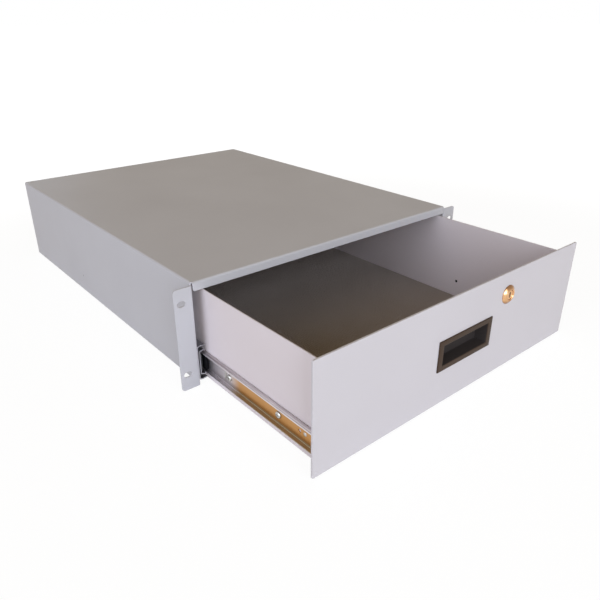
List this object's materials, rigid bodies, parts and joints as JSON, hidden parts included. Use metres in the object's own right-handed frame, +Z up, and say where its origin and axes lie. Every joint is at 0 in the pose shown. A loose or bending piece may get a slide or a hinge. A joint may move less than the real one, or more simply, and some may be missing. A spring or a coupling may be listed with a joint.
{
  "type": "sliding rack drawer",
  "caption": "Lockable sheet-metal drawer that slides out of a rack-mounted case on telescopic ball-bearing slides, with a recessed pull and a rubber mat.",
  "frame": {"origin": "centre of the four rack slots, on the rear face of the ears that seats on the rack", "axes": "+X to the right seen from the front, +Y towards the back of the rack, +Z up; the drawer pulls out along -Y"},
  "size_m": [0.4826, 0.7713, 0.1305],
  "materials": {
    "case_paint": "fine texture, satin",
    "panel_paint": "fine texture, satin",
    "tray_paint": "fine texture, satin",
    "slide_steel": "zinc plated",
    "cage_steel": "zinc plated",
    "ball_steel": "polished",
    "screw_steel": "zinc plated",
    "slide_plastic": "moulded",
    "handle_plastic": "fine moulded texture",
    "mat_rubber": "fine ribs",
    "lock_chrome": "polished plate"
  },
  "bodies": {
    "case": {"case_cover": "case_paint", "back_panel": "case_paint", "case_side_left": "case_paint", "slide_outer_left": "slide_steel", "slide_rivets_left": "screw_steel", "slide_stop_left": "slide_plastic", "case_side_right": "case_paint", "slide_outer_right": "slide_steel", "slide_rivets_right": "screw_steel", "slide_stop_right": "slide_plastic"},
    "drawer": {"drawer_tray": "tray_paint", "tray_front_wall": "tray_paint", "tray_rear_wall": "tray_paint", "front_panel": "panel_paint", "panel_fasteners": "screw_steel", "drawer_mat": "mat_rubber", "pull_handle": "handle_plastic", "lock_housing": "lock_chrome", "lock_nut": "screw_steel", "slide_inner_left": "slide_steel", "tray_screws_left": "screw_steel", "slide_inner_right": "slide_steel", "tray_screws_right": "screw_steel"},
    "lock_core": {"lock_plug": "lock_chrome", "lock_cam": "screw_steel", "lock_cam_nut": "screw_steel"},
    "middle_left": {"slide_middle_left": "slide_steel", "slide_bumper_left": "slide_plastic"},
    "outer_cage_left": {"outer_cage_left": "cage_steel", "outer_balls_left": "ball_steel"},
    "inner_cage_left": {"inner_cage_left": "cage_steel", "inner_balls_left": "ball_steel"},
    "middle_right": {"slide_middle_right": "slide_steel", "slide_bumper_right": "slide_plastic"},
    "outer_cage_right": {"outer_cage_right": "cage_steel", "outer_balls_right": "ball_steel"},
    "inner_cage_right": {"inner_cage_right": "cage_steel", "inner_balls_right": "ball_steel"}
  },
  "joints": [
    {"name": "middle_left_slide", "type": "slide", "parent": "case", "child": "middle_left", "axis": [0, -1, 0], "range_m": [0, 0.275]},
    {"name": "middle_right_slide", "type": "slide", "parent": "case", "child": "middle_right", "axis": [0, -1, 0], "range_m": [0, 0.275]},
    {"name": "drawer_slide", "type": "slide", "parent": "middle_left", "child": "drawer", "axis": [0, -1, 0], "range_m": [-0.2007, 0.0743]},
    {"name": "outer_cage_left_slide", "type": "slide", "parent": "case", "child": "outer_cage_left", "axis": [0, -1, 0], "range_m": [0, 0.1375]},
    {"name": "outer_cage_right_slide", "type": "slide", "parent": "case", "child": "outer_cage_right", "axis": [0, -1, 0], "range_m": [0, 0.1375]},
    {"name": "inner_cage_left_slide", "type": "slide", "parent": "middle_left", "child": "inner_cage_left", "axis": [0, -1, 0], "range_m": [-0.10035, 0.03715]},
    {"name": "inner_cage_right_slide", "type": "slide", "parent": "middle_right", "child": "inner_cage_right", "axis": [0, -1, 0], "range_m": [-0.10035, 0.03715]},
    {"name": "lock_turn", "type": "hinge", "parent": "drawer", "child": "lock_core", "pos_m": [0.074, -0.2052, 0.0368], "axis": [0, -1, 0], "range_deg": [0, 90]}
  ],
  "couplings": [
    {"joint": "middle_right_slide", "follows": "middle_left_slide", "ratio": 1},
    {"joint": "outer_cage_left_slide", "follows": "middle_left_slide", "ratio": 0.5},
    {"joint": "outer_cage_right_slide", "follows": "middle_left_slide", "ratio": 0.5},
    {"joint": "inner_cage_left_slide", "follows": "drawer_slide", "ratio": 0.5},
    {"joint": "inner_cage_right_slide", "follows": "drawer_slide", "ratio": 0.5}
  ]
}
